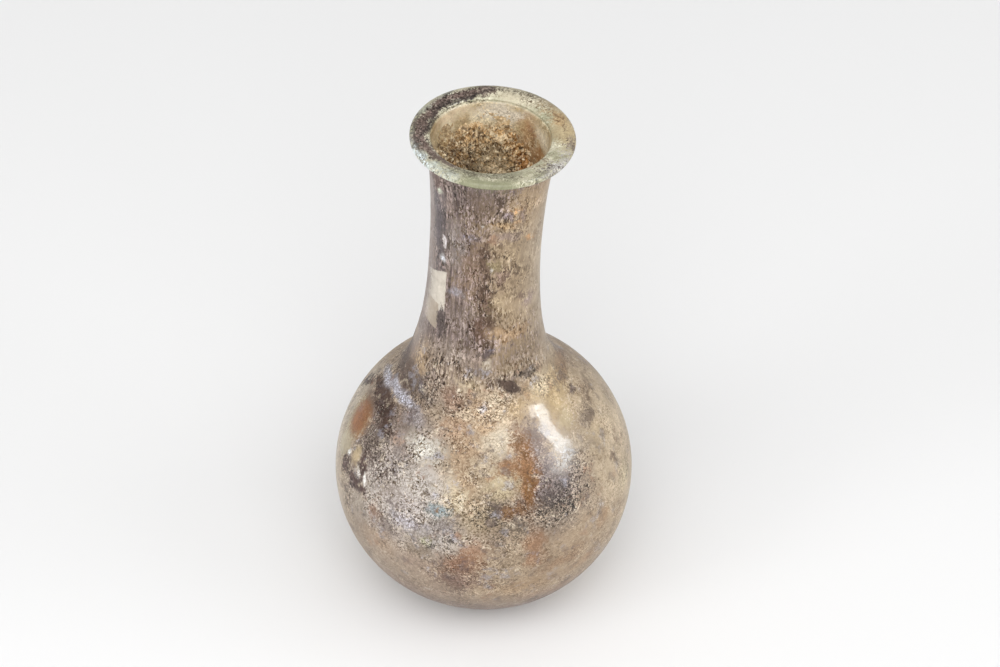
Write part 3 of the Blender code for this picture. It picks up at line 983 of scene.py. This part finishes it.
flask = made_by(bench.tree, "blown_flask", inner_run + outer_run, FLASK_SIZES)
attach(flask, "root")
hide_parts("flask")

# ----------------------------------------
# SOIL IN THE NECK. Burial earth that dried onto the inside of the neck: a thin uneven lining of brown silt
# with loose grains stuck to it. It starts a little below the lip, and leaves the bore open.
# ----------------------------------------

SOIL_FOOT = 64.0 * MM
SOIL_TOP = 104.6 * MM

EARTH = (204, 166, 116)
EARTH_DARK = (62, 39, 18)
EARTH_PALE = (226, 204, 166)
QUARTZ = (250, 234, 200)

# Both faces of the lining start just inside the glass. Only the free one comes out, where soil clings.
neck_wall = [point for point in inner_neck if SOIL_FOOT <= point[1] <= SOIL_TOP]
against_glass = spaced([(radius + 0.07 * MM, z) for radius, z in neck_wall], 0.5 * MM)
free_face = spaced([(radius + 0.03 * MM, z) for radius, z in neck_wall[::-1]], 0.4 * MM)
soil_line = against_glass + free_face + against_glass[:1]

soil, bench, shader = new_finish("burial_soil")
turned = bench.put("ShaderNodeAttribute", attribute_name="turned").outputs["Vector"]
tone = bench.put("ShaderNodeAttribute", attribute_name="tone").outputs["Fac"]
silt = bench.noise(turned, 1.6 * MM, detail=5.0, roughness=0.7)
grit = bench.noise(turned, 0.42 * MM, detail=3.0, roughness=0.75)
lumps = bench.channels(bench.noise(turned, 0.85 * MM, detail=4.0, roughness=0.7)[1])
speck = bench.ramp(grit[0], 0.34, 0.66, -1.0, 1.0, smooth=False)
fray = bench.sway(silt, 5.0 * MM)
places = {"ragged": bench.moved(turned, fray)}
earth_tone = bench.mix(bench.ramp(silt[0], 0.42, 0.6), EARTH, (228, 204, 166))
coat = {"colour": earth_tone, "feel": (0.0, 0.0, 0.0, 1.0)}

for angle, height, wide, tall, colour, edge, grit, share in (
    (-100, 102.5, 7, 3, (170, 150, 108), 0.6, 0.3, 0.7),
    (100, 101, 6, 4, (176, 146, 104), 0.6, 0.3, 0.7),
    # The two dark patches at the back are partly dark earth and partly painted shade of deep hollows.
    (176, 97.5, 3.6, 1.6, EARTH_DARK, 0.7, 1.2, 0.75),
    (-158, 94, 3.4, 1.6, EARTH_DARK, 0.7, 1.2, 0.75),
    (168, 92.6, 5.5, 2.8, QUARTZ, 0.6, 1.2, 0.6),
    (172, 91, 2.5, 1.6, QUARTZ, 0.6, 1.2, 0.9),
    (-178, 96, 1.6, 2.6, EARTH_PALE, 0.6, 1, 0.7),
    (134, 95.5, 1.9, 2.8, (186, 126, 62), 0.6, 0.6, 0.85),
    (145, 100, 2.4, 2, (168, 120, 66), 0.6, 0.6, 0.7),
    (-130, 99, 4, 3.4, (150, 118, 78), 0.6, 0.6, 0.7),
):
    stain(angle, height, wide, tall, colour, edge=edge, grit=grit, share=share, radius=9.8, slope=0.0)
loose = bench.mix(bench.ramp(tone, 0.1, 1.0, smooth=False), EARTH_DARK, QUARTZ)
soil_colour = bench.mix(bench.ramp(tone, 0.0, 0.05, 0.0, 0.45), coat["colour"], loose)
soil_grain = bench.vector("MULTIPLY_ADD", speck, (0.54, 0.66, 0.82), WHOLE)
soil_colour = bench.vector("MULTIPLY", soil_colour, soil_grain)
# Pale lumps, dark pits that are partly dark earth and partly painted shade in hollows, and a thinner, paler
# edge where it ends below the lip.
soil_colour = bench.mix(bench.ramp(lumps[1], 0.55, 0.61, 0.0, 0.75), soil_colour, QUARTZ)
dark_earth_and_pit_shade = bench.ramp(lumps[0], 0.46, 0.41, 0.0, 0.85)
soil_colour = bench.mix(dark_earth_and_pit_shade, soil_colour, EARTH_DARK)
climbing = bench.sum("MULTIPLY_ADD", silt[0], 8.0 * MM, bench.split(turned)[2])
thinning = bench.ramp(climbing, 104.0 * MM, 108.0 * MM, 0.0, 0.55)
soil_colour = bench.mix(thinning, soil_colour, (190, 164, 126))
bump_feeds = {"Strength": 0.8, "Distance": 0.12 * MM, "Height": speck}
bench.feed_all(shader, {
    "Base Color": soil_colour,
    "Roughness": 0.85,
    "Specular IOR Level": 0.3,
    "Normal": bench.one("ShaderNodeBump", bump_feeds),
})

SOIL_SIZES = {
    **NECK_SIZES,
    "Columns": 170,
    "Rows": len(soil_line),
    "Free row": len(against_glass),
    "Top": SOIL_TOP,
    "Foot": SOIL_FOOT,
    "Thickness": 1.2 * MM,
    "Grains": 1.5e6,
    "Grain size": 0.21 * MM,
    "Seed": 7,
    "Soil": soil,
}
bench, inputs, output = new_tree("soil_lining", SOIL_SIZES)
grid, row, wrapped = turned_grid(bench, inputs)
first_free = bench.minus(inputs["Free row"], 0.5)
free = bench.ramp(row, first_free, bench.plus(first_free, 0.4), smooth=False)
shape, was_turned = welded(bench, grid, wrapped, {"free": free, "tone": 0.0})
was_free = stored(bench, "free")
height = bench.split(was_turned)[2]
clods = bench.noise(was_turned, 1.9 * MM, detail=5.0, roughness=0.68)[0]
fringe = bench.noise(was_turned, 5.0 * MM, detail=4.0, roughness=0.6)[0]
fringed = bench.sum("MULTIPLY_ADD", bench.minus(fringe, 0.5), 9.0 * MM, height)
# The soil stops lower on the side the neck leans to.
leaning_side = bench.ramp(bench.split(was_turned)[0], 1.0 * MM, 9.0 * MM, -3.2 * MM, 2.6 * MM)
fringed = bench.plus(fringed, leaning_side)
full_below = bench.minus(inputs["Top"], 1.6 * MM)
none_above = bench.minus(inputs["Top"], 0.4 * MM)
near_top = bench.ramp(fringed, full_below, none_above, 1.0, 0.0)
thins_from = bench.minus(inputs["Top"], 9.0 * MM)
thins_to = bench.minus(inputs["Top"], 0.5 * MM)
climb = bench.ramp(fringed, thins_from, thins_to, 0.0, 0.52, smooth=False)
near_foot = bench.ramp(height, inputs["Foot"], bench.plus(inputs["Foot"], 6.0 * MM))
cover = bench.times(bench.times(near_top, near_foot), was_free)
thick = bench.ramp(bench.minus(clods, climb), 0.24, 0.7, -0.08, 1.6, smooth=False)
thick = bench.times(thick, inputs["Thickness"])
inward = bench.vector("NORMALIZE", bench.vector("MULTIPLY", was_turned, (-1.0, -1.0, 0.0)))
sunk = bench.scaled(inward, bench.times(thick, cover))
# It follows the glass behind it, which is a little uneven and shifted at the mouth.
swell = bench.minus(bench.noise(was_turned, WOBBLE_LENGTH, detail=1.0)[0], 0.5)
swell = bench.times(swell, bench.times(inputs["Wobble"], -2.0))
mouth = bench.times(bench.ramp(height, MOUTH_SHIFT_FROM, MOUTH_SHIFT_FULL), inputs["Mouth shift"])
sunk = bench.moved(sunk, bench.scaled(inward, swell))
sunk = bench.moved(sunk, bench.join(mouth, 0.0, 0.0))
shape = bench.one("GeometryNodeSetPosition", {"Geometry": shape, "Offset": sunk})
shape = keep(bench, shape, "cover", cover, "FLOAT")
density = bench.times(bench.ramp(stored(bench, "cover"), 0.3, 0.9), inputs["Grains"])
density = bench.times(density, bench.ramp(height, 78.0 * MM, 90.0 * MM, 0.15, 1.0))
scatter_feeds = {"Mesh": shape, "Density": density, "Seed": inputs["Seed"]}
scattered = bench.one("GeometryNodeDistributePointsOnFaces", scatter_feeds)


def chance(low, high, seed, data_type="FLOAT"):
    """A different value for each grain, between two values or between two vectors."""
    sockets = (2, 3) if data_type == "FLOAT" else (0, 1)
    feeds = {sockets[0]: low, sockets[1]: high, "Seed": seed}
    made = bench.put("FunctionNodeRandomValue", feeds, data_type=data_type)
    return made.outputs[1 if data_type == "FLOAT" else 0]


# Most of the grains are small, and each has its own shape, turn and tone.
crumb = bench.one("GeometryNodeMeshIcoSphere", {0: inputs["Grain size"], 1: 1})
size_of = bench.sum("POWER", chance(0.0, 1.0, inputs["Seed"]), 3.0)
stretch = chance((0.7, 0.7, 0.6), (1.3, 1.3, 1.2), inputs["Seed"], "FLOAT_VECTOR")
scale = bench.scaled(stretch, bench.ramp(size_of, 0.0, 1.0, 0.5, 1.7, smooth=False))
FULL_TURN = (6.28, 6.28, 6.28)
spin = chance((0.0, 0.0, 0.0), FULL_TURN, inputs["Seed"], "FLOAT_VECTOR")
turn = bench.one("FunctionNodeEulerToRotation", {0: spin})
crumb_feeds = {"Points": scattered, "Instance": crumb, "Rotation": turn, "Scale": scale}
crumbs = bench.one("GeometryNodeInstanceOnPoints", crumb_feeds)
tone_of = chance(0.1, 1.0, bench.plus(inputs["Seed"], 1))
crumbs = keep(bench, crumbs, "tone", tone_of, "FLOAT", "INSTANCE")
crumbs = bench.one("GeometryNodeRealizeInstances", {0: crumbs})
joined = bench.put("GeometryNodeJoinGeometry")
for part in (shape, crumbs):
    bench.tree.links.new(part, joined.inputs[0])
shape = lean(bench, joined.outputs[0], inputs)
finished(bench, shape, inputs["Soil"], output)

soil_lining = made_by(bench.tree, "soil_lining", soil_line, SOIL_SIZES)
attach(soil_lining, "root")

# ----------------------------------------
# STUDIO. A plain pale floor under even light from above and both sides. Two panels that only show as
# reflections stand for a tall window on the right.
# ----------------------------------------

FLOOR_REACH = 3.0
floor_mesh = bpy.data.meshes.new("floor")
floor_corners = [(x * FLOOR_REACH, y * FLOOR_REACH, 0.0) for x, y in ((-1, -1), (1, -1), (1, 1), (-1, 1))]
floor_mesh.from_pydata(floor_corners, [], [(0, 1, 2, 3)])
floor = placed("floor", floor_mesh)
floor_paint, bench, shader = new_finish("floor_paint")
bench.feed_all(shader, {"Base Color": (0.87, 0.87, 0.87, 1.0), "Roughness": 0.9, "Specular IOR Level": 0.2})
floor_mesh.materials.append(floor_paint)

world = bpy.data.worlds.new("studio")
world.use_nodes = True
background = world.node_tree.nodes["Background"]
background.inputs["Color"].default_value = (1.0, 1.0, 1.0, 1.0)
background.inputs["Strength"].default_value = 0.55
bpy.context.scene.world = world


def soft_light(name, direction, long_side, distance, width, length, power, colour=(1.0, 1.0, 1.0)):
    """An even panel that faces the flask from a direction, with its long side turned to the given one."""
    lamp = bpy.data.lights.new(name, "AREA")
    lamp.shape = "RECTANGLE"
    lamp.size = width
    lamp.size_y = length
    lamp.energy = power
    lamp.color = colour
    panel = placed(name, lamp)
    back = Vector(direction).normalized()
    side = Vector(long_side).normalized()
    side = (side - back * side.dot(back)).normalized()
    across = side.cross(back)
    place = Matrix((across, side, back)).transposed().to_4x4()
    place.translation = Vector((0.0, 0.0, GLOBE_CENTRE)) + back * distance
    panel.matrix_world = place
    return panel


UPRIGHT = (0.0, 0.0, 1.0)
LEVEL = (1.0, 0.0, 0.0)
COOL = (0.88, 0.95, 1.0)

glint = soft_light(
    "window_glint", (0.75, -0.085, 0.655), (-0.57, 0.27, 0.78), distance=1.0, width=0.20, length=0.82,
    power=9.2, colour=COOL,
)
glint.visible_diffuse = False
low_glint = soft_light(
    "low_window_glint", (0.85, -0.31, 0.43), UPRIGHT, distance=1.0, width=0.2, length=0.24, power=1.8
)
low_glint.visible_diffuse = False
soft_light("panel_above", (0.0, -0.6, 0.8), LEVEL, distance=1.6, width=1.4, length=1.8, power=11.4)
soft_light("floor_fill", (0.0, -0.80, 0.60), LEVEL, distance=0.5, width=0.5, length=0.25, power=0.75)
soft_light("panel_right", (0.85, -0.25, 0.46), UPRIGHT, distance=1.5, width=1.0, length=1.0, power=4.4)
soft_light("panel_left", (-0.708, -0.484, 0.514), UPRIGHT, distance=1.3, width=0.5, length=0.7, power=2.8)

CAMERA_LENS = 186.2
CAMERA_PITCH = math.radians(39.5)
CAMERA_DISTANCE = 992.4 * MM
CAMERA_AIM = Vector((3.2 * MM, 0.0, 59.6 * MM))
camera_data = bpy.data.cameras.new("camera")
camera_data.sensor_width = 36.0
camera_data.lens = CAMERA_LENS
camera_data.clip_start = 0.05
camera = placed("camera", camera_data)
towards_camera = Vector((0.0, -math.cos(CAMERA_PITCH), math.sin(CAMERA_PITCH)))
camera.location = CAMERA_AIM + CAMERA_DISTANCE * towards_camera
camera.rotation_euler = Euler((math.pi / 2 - CAMERA_PITCH, 0.0, 0.0))
bpy.context.scene.camera = camera
bpy.context.scene.view_settings.view_transform = "Standard"
